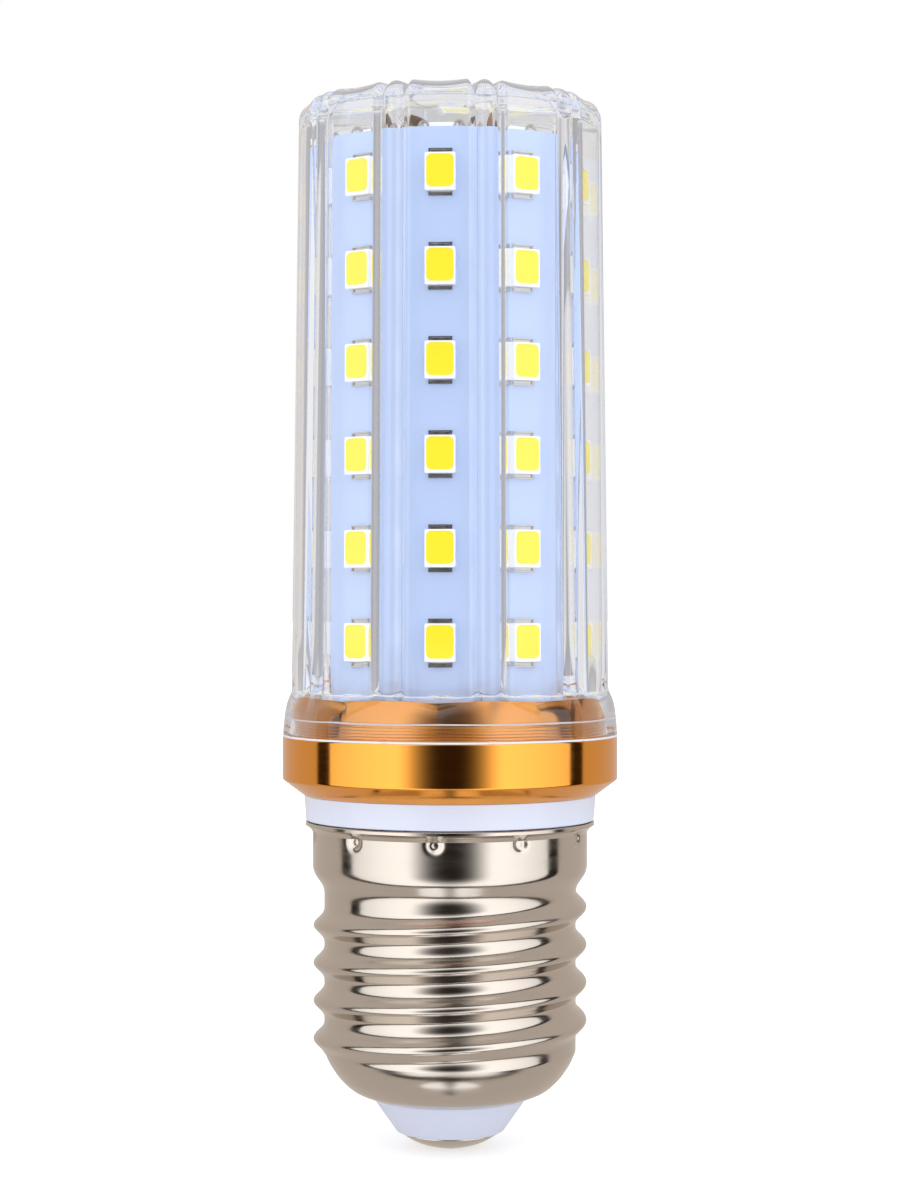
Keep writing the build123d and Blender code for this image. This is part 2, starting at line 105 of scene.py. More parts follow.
def finished(name, verts, faces, material, sharp=35):
    """A closed mesh object with its doubles merged, its normals outwards and its faces smooth."""
    mesh = bpy.data.meshes.new(name)
    mesh.from_pydata([tuple(value * MM for value in vert) for vert in verts], [], faces)
    work = bmesh.new()
    work.from_mesh(mesh)
    bmesh.ops.remove_doubles(work, verts=work.verts, dist=0.001 * MM)
    bmesh.ops.dissolve_degenerate(work, edges=work.edges, dist=0.0005 * MM)
    bmesh.ops.recalc_face_normals(work, faces=work.faces)
    work.to_mesh(mesh)
    work.free()
    mesh.polygons.foreach_set("use_smooth", [True] * len(mesh.polygons))
    mesh.set_sharp_from_angle(angle=radians(sharp))
    mesh.materials.append(material)
    obj = bpy.data.objects.new(name, mesh)
    bpy.context.collection.objects.link(obj)
    return obj


def turned(name, outline, material, columns=turned_columns, sharp=35):
    """A piece turned about the lamp's axis from a closed outline of radii and heights."""
    count = len(outline)
    verts = []
    faces = []
    for column in range(columns):
        angle = 2 * pi * column / columns
        verts += [(radius * cos(angle), radius * sin(angle), height) for radius, height in outline]
        here = column * count
        there = (column + 1) % columns * count
        for k in range(count):
            nearby = (k + 1) % count
            faces.append((here + k, there + k, there + nearby, here + nearby))
    return finished(name, verts, faces, material, sharp)


def new_material(name, **values):
    """A Principled material with plain values on its sockets."""
    material = bpy.data.materials.new(name)
    material.use_nodes = True
    shader = material.node_tree.nodes["Principled BSDF"]
    for socket, value in values.items():
        shader.inputs[socket.replace("_", " ")].default_value = value
    return material


def add_node(tree, kind, inputs=None, **settings):
    """A node with its settings and with values or links on its inputs."""
    node = tree.nodes.new(kind)
    for name, value in settings.items():
        setattr(node, name, value)
    for name, value in (inputs or {}).items():
        if isinstance(value, bpy.types.NodeSocket):
            tree.links.new(value, node.inputs[name])
        else:
            node.inputs[name].default_value = value
    return node


def grained(material, stretch, scale, roughness, bump, depth):
    """Streaks or grain on a material: roughness between two values and a fine bump."""
    tree = material.node_tree
    shader = tree.nodes["Principled BSDF"]
    place = add_node(tree, "ShaderNodeTexCoord")
    mapped = add_node(tree, "ShaderNodeMapping", {"Vector": place.outputs["Object"], "Scale": stretch})
    noise = add_node(
        tree, "ShaderNodeTexNoise",
        {"Vector": mapped.outputs["Vector"], "Scale": scale, "Detail": 4.0, "Roughness": 0.6},
    )
    spread = add_node(
        tree, "ShaderNodeMapRange",
        {"Value": noise.outputs["Fac"], "From Min": 0.3, "From Max": 0.7,
         "To Min": roughness[0], "To Max": roughness[1]},
    )
    tree.links.new(spread.outputs["Result"], shader.inputs["Roughness"])
    relief = add_node(
        tree, "ShaderNodeBump",
        {"Height": noise.outputs["Fac"], "Strength": bump, "Distance": depth * MM},
    )
    tree.links.new(relief.outputs["Normal"], shader.inputs["Normal"])


nickel = new_material("nickel_plate", Base_Color=(0.60, 0.545, 0.49, 1), Metallic=1.0)
grained(nickel, (1, 1, 6), 160.0, (0.10, 0.2), 0.12, 0.01)

contact_outline = [
    (0, 0), (contact_flat, 0),
    *eased_corner((contact_flat, 0), contact_bend, (contact_radius, contact_rise), 1.3),
    (contact_radius, contact_rise),
    (contact_radius, contact_rise + contact_thickness),
    (stem_radius, contact_rise + contact_thickness),
    (stem_radius, stem_top),
    (0, stem_top),
]
contact = turned("contact_button", contact_outline, nickel)
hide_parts("centre_contact")
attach(contact, "root")

# Insulator
# A white moulded cone that closes the open end of the cap. A lip inside the cap holds it, and
# the contact's stem passes through its middle.
cone_foot = (5.1, 1.5)
cone_head = (7.5, 4.9)
lip_seat = (7.5, 5.3)
lip_edge = (9.0, 6.7)


def moulded_white(name, colour):
    """White moulded plastic with a faint texture from its mould."""
    material = new_material(name, Base_Color=(*colour, 1), Coat_Weight=0.25, Coat_Roughness=0.2,
                            Subsurface_Weight=0.15, Subsurface_Scale=0.6 * MM)
    grained(material, (1, 1, 1), 900.0, (0.32, 0.46), 0.08, 0.01)
    return material


insulator_white = moulded_white("insulator_white", (0.53, 0.565, 0.69))
cone_outline = softened(
    [(stem_radius, cone_foot[1]), cone_foot, cone_head, lip_seat, lip_edge, (stem_radius, lip_edge[1])],
    0.3,
)
insulator = turned("insulator_cone", cone_outline, insulator_white)
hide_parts("cap_insulator")
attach(insulator, "root")

# Screw cap shell
# Thin brass sheet, drawn, rolled into a round screw thread, nickel plated, and fixed to the
# housing by ten punched crimp marks under its flared rim.
rim_top = 31.4
rim_radius = 13.9
flare_foot = 30.4
skirt_radius = 13.2
skirt_foot = 26.6
root_top = 25.0
root_radius = 12.1
thread_major = 13.15
thread_pitch = 3.629
thread_start = 8.62
run_in = (0.14, 0.42)
run_out = (4.08, 4.34)
root_foot = 9.3
dome_bends = ((11.74, 8.42), (11.2, 7.5), (10.39, 6.48), (9.27, 5.56))
dome_foot = (7.6, 4.9)
sheet = 0.3
row_spacing = 0.1
thread_spacing = 0.17
shell_columns = 500
crimp_count = 10
crimp_height = 30.1
crimp_size = 0.42
crimp_depth = 0.5
crimp_turn = -92.3


def spline_rows(points, steps):
    """A smooth line through points, with this many steps between two of them."""
    rows = [points[0]]
    padded = [points[0], *points, points[-1]]
    for first, second, third, fourth in zip(padded, padded[1:], padded[2:], padded[3:]):
        for step in range(1, steps + 1):
            t = step / steps
            rows.append(tuple(
                0.5 * (2 * second[k] + (third[k] - first[k]) * t
                       + (2 * first[k] - 5 * second[k] + 4 * third[k] - fourth[k]) * t**2
                       + (3 * second[k] - first[k] - 3 * third[k] + fourth[k]) * t**3)
                for k in (0, 1)
            ))
    return rows


def dense(start, end, spacing):
    """Points along a straight stretch of an outline, without its last one."""
    steps = max(1, round(hypot(end[0] - start[0], end[1] - start[1]) / spacing))
    return [tuple(start[k] + (end[k] - start[k]) * step / steps for k in (0, 1)) for step in range(steps)]


lip_height = 31.05
lip_inset = 0.08
flare_top = (13.55, 30.85)
bend_cut = 0.6
skirt_corner = (skirt_radius, skirt_foot)
root_corner = (root_radius, root_top)
skirt_bend = eased_corner((skirt_radius, flare_foot), skirt_corner, root_corner, bend_cut)
root_bend = eased_corner(skirt_corner, root_corner, (root_radius, root_foot), bend_cut)
outer_wall = [(rim_radius - lip_inset, rim_top), (rim_radius, rim_top - lip_inset), (rim_radius, lip_height)]
outer_wall += eased_corner((rim_radius, lip_height), flare_top, (skirt_radius, flare_foot), 0.25)
outer_wall += dense((skirt_radius, flare_foot), skirt_bend[0], row_spacing)
outer_wall += skirt_bend
outer_wall += root_bend
outer_wall += dense(root_bend[-1], (root_radius, root_foot), thread_spacing)[1:]
outer_wall += spline_rows([(root_radius, root_foot), *dome_bends, dome_foot], 4)
inner_wall = [
    (dome_foot[0], dome_foot[1] + sheet),
    *[(radius - 0.2, height + 0.22) for radius, height in reversed(dome_bends)],
    (root_radius - sheet, root_foot),
    (root_radius - sheet, root_top),
    (skirt_radius - sheet, skirt_foot),
    (skirt_radius - sheet, flare_foot),
    (rim_radius - sheet, rim_top),
]


def math_node(tree, operation, *values):
    """One sum in a node tree, with numbers or sockets as its values."""
    node = tree.nodes.new("ShaderNodeMath")
    node.operation = operation
    for slot, value in enumerate(values):
        if isinstance(value, bpy.types.NodeSocket):
            tree.links.new(value, node.inputs[slot])
        else:
            node.inputs[slot].default_value = value
    return node.outputs[0]


def smooth_step(tree, value, low, high):
    """0 below low, 1 above high and a smooth change between them."""
    node = add_node(tree, "ShaderNodeMapRange", {"Value": value, "From Min": low, "From Max": high},
                    interpolation_type="SMOOTHSTEP")
    return node.outputs["Result"]


def new_tree(name, **numbers):
    """A Geometry Nodes tree with a geometry input, an output and named number inputs."""
    tree = bpy.data.node_groups.new(name, "GeometryNodeTree")
    tree.interface.new_socket("Geometry", in_out="INPUT", socket_type="NodeSocketGeometry")
    tree.interface.new_socket("Geometry", in_out="OUTPUT", socket_type="NodeSocketGeometry")
    for label, value in numbers.items():
        kind = "NodeSocketInt" if isinstance(value, int) else "NodeSocketFloat"
        tree.interface.new_socket(label.replace("_", " "), in_out="INPUT", socket_type=kind)
    entry = tree.nodes.new("NodeGroupInput")
    exit_node = tree.nodes.new("NodeGroupOutput")
    return tree, entry, exit_node


def grown(obj, tree, **numbers):
    """Runs a tree on an object and keeps the result as its plain mesh."""
    modifier = obj.modifiers.new(tree.name, "NODES")
    modifier.node_group = tree
    for item in tree.interface.items_tree:
        if item.in_out == "INPUT" and item.name.replace(" ", "_") in numbers:
            modifier[item.identifier] = numbers[item.name.replace(" ", "_")]
    evaluated = obj.evaluated_get(bpy.context.evaluated_depsgraph_get())
    mesh = bpy.data.meshes.new_from_object(evaluated)
    obj.modifiers.remove(modifier)
    obj.data = mesh
    return obj


# The thread rises from the sheet along its helix, and the crimps are pits with a raised middle.
roll_sizes = dict(
    Pitch=thread_pitch * MM, Depth=(thread_major - root_radius) * MM, Start=thread_start * MM,
    First_turn=run_in[0], Full_turn=run_in[1], Fading_turn=run_out[0], Last_turn=run_out[1],
    Crimps=crimp_count, Crimp_height=crimp_height * MM, Crimp_size=crimp_size * MM,
    Crimp_depth=crimp_depth * MM, Crimp_turn=radians(crimp_turn),
)
rolling, sizes, rolled = new_tree("rolled_sheet", **roll_sizes)
size = sizes.outputs
place = rolling.nodes.new("GeometryNodeInputPosition").outputs[0]
x, y, z = add_node(rolling, "ShaderNodeSeparateXYZ", {0: place}).outputs
radius_here = math_node(rolling, "SQRT", math_node(rolling, "ADD", math_node(rolling, "MULTIPLY", x, x),
                                                   math_node(rolling, "MULTIPLY", y, y)))
angle_here = math_node(rolling, "ARCTAN2", y, x)
lead = math_node(rolling, "MULTIPLY", math_node(rolling, "DIVIDE", angle_here, 2 * pi), size["Pitch"])
turn_height = math_node(rolling, "SUBTRACT", math_node(rolling, "SUBTRACT", z, size["Start"]), lead)
turns = math_node(rolling, "DIVIDE", turn_height, size["Pitch"])
wave = math_node(rolling, "COSINE", math_node(rolling, "MULTIPLY", turns, 2 * pi))
bead = math_node(rolling, "POWER", math_node(rolling, "MULTIPLY_ADD", wave, 0.5, 0.5), 1.5)
along_helix = math_node(rolling, "ADD", math_node(rolling, "ROUND", turns),
                        math_node(rolling, "DIVIDE", angle_here, 2 * pi))
fade_in = smooth_step(rolling, along_helix, size["First turn"], size["Full turn"])
fade_out = smooth_step(rolling, along_helix, size["Last turn"], size["Fading turn"])
outside = math_node(rolling, "GREATER_THAN", radius_here, (root_radius - sheet / 2) * MM)
thread_rise = size["Depth"]
for part in (bead, fade_in, fade_out, outside):
    thread_rise = math_node(rolling, "MULTIPLY", thread_rise, part)
crimp_step = math_node(rolling, "DIVIDE", 2 * pi, size["Crimps"])
from_crimp = math_node(rolling, "SUBTRACT", angle_here, size["Crimp turn"])
off_centre = math_node(rolling, "WRAP", from_crimp, math_node(rolling, "MULTIPLY", crimp_step, 0.5),
                       math_node(rolling, "MULTIPLY", crimp_step, -0.5))
across = math_node(rolling, "MULTIPLY", off_centre, radius_here)
along = math_node(rolling, "SUBTRACT", z, size["Crimp height"])
away = math_node(rolling, "ADD", math_node(rolling, "MULTIPLY", across, across),
                 math_node(rolling, "MULTIPLY", along, along))
spread = math_node(rolling, "MULTIPLY", size["Crimp size"], size["Crimp size"])
from_middle = math_node(rolling, "DIVIDE", away, spread)
fading = math_node(rolling, "EXPONENT", math_node(rolling, "MULTIPLY", from_middle, -1.0))
pit = math_node(rolling, "MULTIPLY", fading, math_node(rolling, "ADD", from_middle, 0.35))
crimp_drop = math_node(rolling, "MULTIPLY", math_node(rolling, "MULTIPLY", pit, size["Crimp depth"]), outside)
rise = math_node(rolling, "SUBTRACT", thread_rise, crimp_drop)
stretch = math_node(rolling, "DIVIDE", rise, radius_here)
outwards = add_node(rolling, "ShaderNodeCombineXYZ", {0: math_node(rolling, "MULTIPLY", x, stretch),
                                                      1: math_node(rolling, "MULTIPLY", y, stretch)})
moved = add_node(rolling, "GeometryNodeSetPosition",
                 {"Geometry": size["Geometry"], "Offset": outwards.outputs[0]})
kept = add_node(rolling, "GeometryNodeRealizeInstances", {"Geometry": moved.outputs[0]})
plated = add_node(rolling, "GeometryNodeSetMaterial", {"Geometry": kept.outputs[0], "Material": nickel})
rolling.links.new(plated.outputs[0], rolled.inputs[0])

shell = turned("screw_shell", outer_wall + inner_wall, nickel, shell_columns)
grown(shell, rolling, **roll_sizes)
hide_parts("cap_shell")
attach(shell, "root")

# Driver housing
# White moulded plastic. Its neck shows between the cap and the collar, its tube carries the cap
# and its spigot the collar, and the driver board stands between ribs in its bore.
neck_foot = (13.84, 31.5)
neck_head = (14.03, 33.95)
tube_radius = 11.75
bore_radius = 10.75
tube_foot = 10.4
housing_skirt = 12.85
spigot_radius = 13.25
spigot_top = 38.9
housing_white = moulded_white("housing_white", (0.56, 0.60, 0.72))
housing_outline = softened(
    [
        (bore_radius, tube_foot), (tube_radius, tube_foot), (tube_radius, root_top),
        (housing_skirt, skirt_foot), (housing_skirt, neck_foot[1]), neck_foot, neck_head,
        (spigot_radius, neck_head[1]), (spigot_radius, spigot_top), (bore_radius, spigot_top),
    ],
    0.15,
)
housing = turned("driver_housing", housing_outline, housing_white)
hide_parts("housing")
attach(housing, "root")

# Driver
# A laminate board with its rectifier, smoothing capacitor, inductor, driver chip and fusible
# resistor soldered on, and insulated wires to the cap and to the top board.
driver_finishes = {
    "driver_board": ("laminate_green", (0.03, 0.16, 0.07), (0.3, 0.45)),
    "fuse_resistor": ("resistor_enamel", (0.10, 0.30, 0.22), (0.3, 0.4)),
    "rectifier": ("package_black", (0.012, 0.012, 0.013), (0.5, 0.7)),
    "driver_chip": ("chip_black", (0.012, 0.012, 0.013), (0.5, 0.7)),
    "inductor": ("ferrite_grey", (0.03, 0.03, 0.032), (0.4, 0.6)),
    "smoothing_capacitor": ("can_sleeve", (0.02, 0.025, 0.05), (0.2, 0.3)),
    "live_wire": ("wire_red", (0.45, 0.02, 0.015), (0.4, 0.5)),
    "neutral_wire": ("wire_black", (0.015, 0.015, 0.015), (0.4, 0.5)),
}


def dress(node, material):
    """Puts a material on a CAD node's mesh, which stays as it is."""
    cad_piece = bpy.data.objects[node]
    cad_piece.data.materials.clear()
    cad_piece.data.materials.append(material)


for node, (finish, colour, roughness) in driver_finishes.items():
    material = new_material(finish, Base_Color=(*colour, 1))
    grained(material, (1, 1, 1), 700.0, roughness, 0.1, 0.02)
    dress(node, material)

# Wires to the top board
# Two brown insulated wires rise through two holes in the top board, and bend over to pads
# near its front edge, where their bared ends are soldered.
wire_radius = 0.5
wire_foot = 36.0
wire_spread = 1.5
wire_crest = 98.2
pad_height = 96.35
wire_sides = 12


def bent_rod(path, radius, sides):
    """Verts and faces of a round rod along a path of points, closed at both ends."""
    verts = []
    for index, point in enumerate(path):
        before = Vector(path[max(index - 1, 0)])
        after = Vector(path[min(index + 1, len(path) - 1)])
        along_path = (after - before).normalized()
        side = along_path.cross(Vector((0.3, 1.0, 0.1))).normalized()
        up = along_path.cross(side)
        for k in range(sides):
            turn = 2 * pi * k / sides
            verts.append(tuple(Vector(point) + radius * (cos(turn) * side + sin(turn) * up)))
    faces = [tuple(range(sides)), tuple((len(path) - 1) * sides + k for k in range(sides))]
    for ring in range(len(path) - 1):
        for k in range(sides):
            nearby = (k + 1) % sides
            low = ring * sides
            faces.append((low + k, low + nearby, low + sides + nearby, low + sides + k))
    return verts, faces


wire_steps = 12
wire_ends = {-1: (-5.0, -8.2), 1: (4.0, -8.4)}
wire_colours = {-1: (0.10, 0.055, 0.03), 1: (0.20, 0.10, 0.04)}
wire_rods = []
wire_looks = []
for side, (end_x, end_y) in wire_ends.items():
    start_x = side * wire_spread
    corners = [(start_x, 0, wire_crest - 1.4), (start_x, 0, wire_crest + 0.5),
               (end_x, end_y, wire_crest + 0.2), (end_x, end_y, pad_height)]
    path = [(start_x, 0, wire_foot)]
    for step in range(wire_steps + 1):
        t = step / wire_steps
        weights = ((1 - t) ** 3, 3 * t * (1 - t) ** 2, 3 * t**2 * (1 - t), t**3)
        path.append(tuple(
            sum(weight * corner[k] for weight, corner in zip(weights, corners)) for k in range(3)
        ))
    look = new_material(f"wire_{'dark' if side < 0 else 'light'}", Base_Color=(*wire_colours[side], 1))
    grained(look, (1, 1, 1), 700.0, (0.35, 0.45), 0.1, 0.02)
    wire_looks.append(look)
    wire_rods.append(bent_rod(path, wire_radius, wire_sides))
rod_verts, rod_faces = wire_rods[0]
shifted = [tuple(len(rod_verts) + k for k in face) for face in wire_rods[1][1]]
lamp_wires = finished("lamp_wires", rod_verts + wire_rods[1][0], rod_faces + shifted, wire_looks[0])
lamp_wires.data.materials.append(wire_looks[1])
for polygon in lamp_wires.data.polygons:
    polygon.material_index = int(polygon.center.x > 0)
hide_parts("led_wires")
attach(lamp_wires, "root")

# Collar
# Turned from aluminium bar and anodised gold. The cover seats on its ring, over a reduced
# sleeve, and the boards stand on its floor.
collar_radius = 16.1
collar_foot = (14.1, 33.95)
collar_bore = 13.3
chamfer_top = 35.45
seat_height = 39.55
sleeve_radius = 14.9
relief_radius = 14.75
relief_top = 41.0
sleeve_top = 43.3
sleeve_bore = 13.9
floor_top = 41.0
floor_under = 39.5
wire_hole = 4.0
groove_pitch = 0.28
groove_depth = 0.05

gold = new_material("gold_anodised", Base_Color=(0.90, 0.365, 0.06, 1), Metallic=1.0)
grained(gold, (1, 1, 14), 220.0, (0.08, 0.13), 0.08, 0.01)
relief_wall = []
groove_count = int((relief_top - seat_height) / groove_pitch)
for groove in range(groove_count):
    low = seat_height + groove * groove_pitch
    relief_wall += [(relief_radius, low + 0.04), (relief_radius - groove_depth, low + groove_pitch / 2),
                    (relief_radius, low + groove_pitch - 0.04)]
collar_outline = softened(
    [
        (collar_bore, collar_foot[1]), collar_foot, (collar_radius, chamfer_top),
        (collar_radius, seat_height), (relief_radius, seat_height), *relief_wall,
        (relief_radius, relief_top), (sleeve_radius, relief_top), (sleeve_radius, sleeve_top),
        (sleeve_bore, sleeve_top), (sleeve_bore, floor_top), (wire_hole, floor_top),
        (wire_hole, floor_under), (collar_bore, floor_under),
    ],
    0.12, 2,
)
collar = turned("gold_collar", collar_outline, gold, 240)
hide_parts("collar")
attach(collar, "root")
collar.visible_glossy = False

# Diode boards and top board
# Aluminium-core board, milled to size and coated with pale blue solder mask. Ten strips stand
# in a ring on the collar's floor, and the top board lies inside their upper ends.
board_count = 10
mask_blue = new_material("solder_mask", Base_Color=(0.46, 0.58, 0.86, 1), Coat_Weight=0.3,
                         Coat_Roughness=0.25)
grained(mask_blue, (1, 1, 1), 500.0, (0.35, 0.5), 0.06, 0.01)
for node in [f"led_board_{k + 1:02d}" for k in range(board_count)] + ["top_board"]:
    dress(node, mask_blue)

# Diodes
# Surface-mounted diodes: a white moulded cup filled with yellow phosphor, and two tinned
# terminals that are soldered to the board at its ends.
board_apothem = 12.1
board_foot = 41.0
board_top = 96.0
diode_rows = 6
diode_pitch = 8.62
first_diode = 7.7
diode_size = (2.8, 3.5)
diode_rise = 0.8
cup_size = (2.5, 3.05)
cup_shift = 0.08
cup_depth = 0.35
cup_round = 0.5
tab_size = (2.2, 0.45)
tab_rise = 0.25
tab_bar = 0.16
tab_foot = 0.22
corner_steps = 4
outer_ring = (8, 7.9)
inner_ring = (4, 3.4)

diode_white = new_material("diode_white", Base_Color=(0.86, 0.87, 0.90, 1), Subsurface_Weight=0.1,
                           Subsurface_Scale=0.3 * MM)
grained(diode_white, (1, 1, 1), 1200.0, (0.4, 0.55), 0.05, 0.005)
phosphor_yellow = new_material("phosphor_yellow", Base_Color=(0.93, 0.80, 0.012, 1), Coat_Weight=0.1,
                               Coat_Roughness=0.15, Specular_IOR_Level=0.2)
grained(phosphor_yellow, (1, 1, 1), 3000.0, (0.4, 0.55), 0.1, 0.005)
tinned = new_material("tinned_copper", Base_Color=(0.70, 0.69, 0.68, 1), Metallic=1.0)
grained(tinned, (1, 1, 1), 1500.0, (0.12, 0.25), 0.2, 0.01)


def rounded_loop(width, length, corner, rise, shift=0.0):
    """A rectangle with round corners, facing -Y and standing this far out of the board."""
    points = []
    for quarter, (side, end) in enumerate(((1, 1), (-1, 1), (-1, -1), (1, -1))):
        centre = (side * (width / 2 - corner), end * (length / 2 - corner))
        for across_x, up_z in arc_points(centre, corner, 90 * quarter, 90 * quarter + 90, corner_steps):
            points.append((across_x, -rise, up_z + shift))
    return points


def stacked(loops):
    """Verts and faces of a closed solid through a stack of loops with as many points each."""
    count = len(loops[0])
    verts = [point for loop in loops for point in loop]
    faces = [tuple(reversed(range(count)))]
    for level in range(len(loops) - 1):
        for k in range(count):
            nearby = (k + 1) % count
            low = level * count
            high = low + count
            faces.append((low + k, low + nearby, high + nearby, high + k))
    faces.append(tuple(range((len(loops) - 1) * count, len(loops) * count)))
    return verts, faces


def diode_body():
    """The white moulded cup."""
    wall = 0.05
    return stacked([
        rounded_loop(*diode_size, 0.12, 0.0),
        rounded_loop(*diode_size, 0.12, diode_rise - wall),
        rounded_loop(diode_size[0] - wall, diode_size[1] - wall, 0.12, diode_rise),
        rounded_loop(*cup_size, cup_round, diode_rise, cup_shift),
        rounded_loop(cup_size[0] - 0.1, cup_size[1] - 0.1, cup_round, diode_rise - cup_depth, cup_shift),
    ])


def diode_phosphor():
    """The yellow filling of the cup."""
    return stacked([
        rounded_loop(cup_size[0] - 0.1, cup_size[1] - 0.1, cup_round, diode_rise - cup_depth, cup_shift),
        rounded_loop(cup_size[0] - 0.01, cup_size[1] - 0.01, cup_round, diode_rise - 0.01, cup_shift),
        rounded_loop(cup_size[0] - 0.3, cup_size[1] - 0.3, cup_round - 0.1, diode_rise - 0.04, cup_shift),
    ])


def diode_tabs():
    """Both terminals: each a tinned plate beyond the diode's end, with raised edges on three sides."""
    verts = []
    faces = []
    half = tab_size[0] / 2
    for end in (-1, 1):
        edge = end * diode_size[1] / 2
        tip = edge + end * tab_size[1]
        slot = tip - end * tab_bar
        bars = (((-half, half), (slot, tip)), ((-half, -half + tab_foot), (edge, slot)),
                ((half - tab_foot, half), (edge, slot)), ((-half + tab_foot, half - tab_foot), (edge, slot)))
        for index, ((left, right), (near, far)) in enumerate(bars):
            base = len(verts)
            top = tab_rise if index < 3 else tab_rise - 0.15
            for rise, shrink in ((0.0, 0.0), (top - 0.05, 0.0), (top, 0.04)):
                low, high = sorted((near, far))
                west, east = left + shrink, right - shrink
                foot, head = low + shrink / 2, high - shrink / 2
                verts += [(west, -rise, foot), (east, -rise, foot), (east, -rise, head), (west, -rise, head)]
            faces.append(tuple(base + k for k in range(4)))
            for level in (0, 4):
                for k in range(4):
                    nearby = (k + 1) % 4
                    low_ring = base + level
                    faces.append((low_ring + k, low_ring + nearby, low_ring + 4 + nearby, low_ring + 4 + k))
            faces.append(tuple(base + 8 + k for k in range(4)))
    return verts, faces


row_sizes = dict(Count=diode_rows, First=(board_foot + first_diode) * MM, Pitch=diode_pitch * MM,
                 Reach=board_apothem * MM, Turn=0.0)


def row_tree(name, material):
    """Places copies of a diode's piece up one board, then turns the row to its board."""
    tree, entry, exit_node = new_tree(name, **row_sizes)
    value = entry.outputs
    first = add_node(tree, "ShaderNodeCombineXYZ", {1: math_node(tree, "MULTIPLY", value["Reach"], -1.0),
                                                    2: value["First"]})
    gap = add_node(tree, "ShaderNodeCombineXYZ", {2: value["Pitch"]})
    line = add_node(tree, "GeometryNodeMeshLine",
                    {"Count": value["Count"], "Start Location": first.outputs[0], "Offset": gap.outputs[0]})
    copies = add_node(tree, "GeometryNodeInstanceOnPoints", {"Points": line.outputs[0],
                                                             "Instance": value["Geometry"]})
    turn = add_node(tree, "ShaderNodeCombineXYZ", {2: value["Turn"]})
    turned_row = add_node(tree, "GeometryNodeTransform", {"Geometry": copies.outputs[0],
                                                          "Rotation": turn.outputs[0]})
    kept_row = add_node(tree, "GeometryNodeRealizeInstances", {"Geometry": turned_row.outputs[0]})
    done = add_node(tree, "GeometryNodeSetMaterial", {"Geometry": kept_row.outputs[0], "Material": material})
    tree.links.new(done.outputs[0], exit_node.inputs[0])
    return tree


def ring_tree(name, material):
    """Places copies of a piece around a level circle, each facing away from the axis."""
    tree, entry, exit_node = new_tree(name, Count=8, Radius=0.0, Height=0.0, Phase=0.0)
    value = entry.outputs
    points = add_node(tree, "GeometryNodePoints", {"Count": value["Count"]})
    index = tree.nodes.new("GeometryNodeInputIndex").outputs[0]
    part_turn = math_node(tree, "MULTIPLY", math_node(tree, "DIVIDE", index, value["Count"]), 2 * pi)
    turn = math_node(tree, "ADD", part_turn, value["Phase"])
    across_x = math_node(tree, "MULTIPLY", math_node(tree, "SINE", turn), value["Radius"])
    back_y = math_node(tree, "MULTIPLY", math_node(tree, "COSINE", turn), value["Radius"])
    front_y = math_node(tree, "MULTIPLY", back_y, -1.0)
    spot_here = add_node(tree, "ShaderNodeCombineXYZ", {0: across_x, 1: front_y, 2: value["Height"]})
    placed = add_node(tree, "GeometryNodeSetPosition", {"Geometry": points.outputs[0],
                                                        "Position": spot_here.outputs[0]})
    facing = add_node(tree, "ShaderNodeCombineXYZ", {2: turn})
    copies = add_node(tree, "GeometryNodeInstanceOnPoints", {"Points": placed.outputs[0],
                                                             "Instance": value["Geometry"],
                                                             "Rotation": facing.outputs[0]})
    kept_ring = add_node(tree, "GeometryNodeRealizeInstances", {"Geometry": copies.outputs[0]})
    done = add_node(tree, "GeometryNodeSetMaterial", {"Geometry": kept_ring.outputs[0], "Material": material})
    tree.links.new(done.outputs[0], exit_node.inputs[0])
    return tree


def laid_flat(shape):
    """A diode's piece turned from facing -Y to facing up, with its length along Y."""
    verts, faces = shape
    return [(across_x, up_z, -out_y) for across_x, out_y, up_z in verts], faces


def joined(first, second):
    """Moves the second object's mesh into the first."""
    work = bmesh.new()
    work.from_mesh(first.data)
    work.from_mesh(second.data)
    work.to_mesh(first.data)
    work.free()
    bpy.data.objects.remove(second)
    return first


diode_pieces = {
    "led_bodies": (diode_body, diode_white, "diode_body"),
    "led_phosphor": (diode_phosphor, phosphor_yellow, "phosphor"),
    "led_terminals": (diode_tabs, tinned, "solder"),
}
for node, (shape, material, slot) in diode_pieces.items():
    up_the_board = row_tree(node + "_row", material)
    for k in range(board_count):
        number = f"{k + 1:02d}"
        piece = finished(f"{node}_fine_{number}", *shape(), material)
        grown(piece, up_the_board, **{**row_sizes, "Turn": 2 * pi * k / board_count})
        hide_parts(f"{node}_{number}")
        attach(piece, "root")
    around = ring_tree(node + "_ring", material)
    rings = []
    for count, radius, phase in ((*outer_ring, 0.0), (*inner_ring, 0.5)):
        ring = finished(f"top_{node}_fine", *laid_flat(shape()), material)
        grown(ring, around, Count=count, Radius=radius * MM, Height=board_top * MM,
              Phase=2 * pi * phase / count)
        rings.append(ring)
    top_piece = joined(*rings)
    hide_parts(f"top_{node}")
    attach(top_piece, "root")

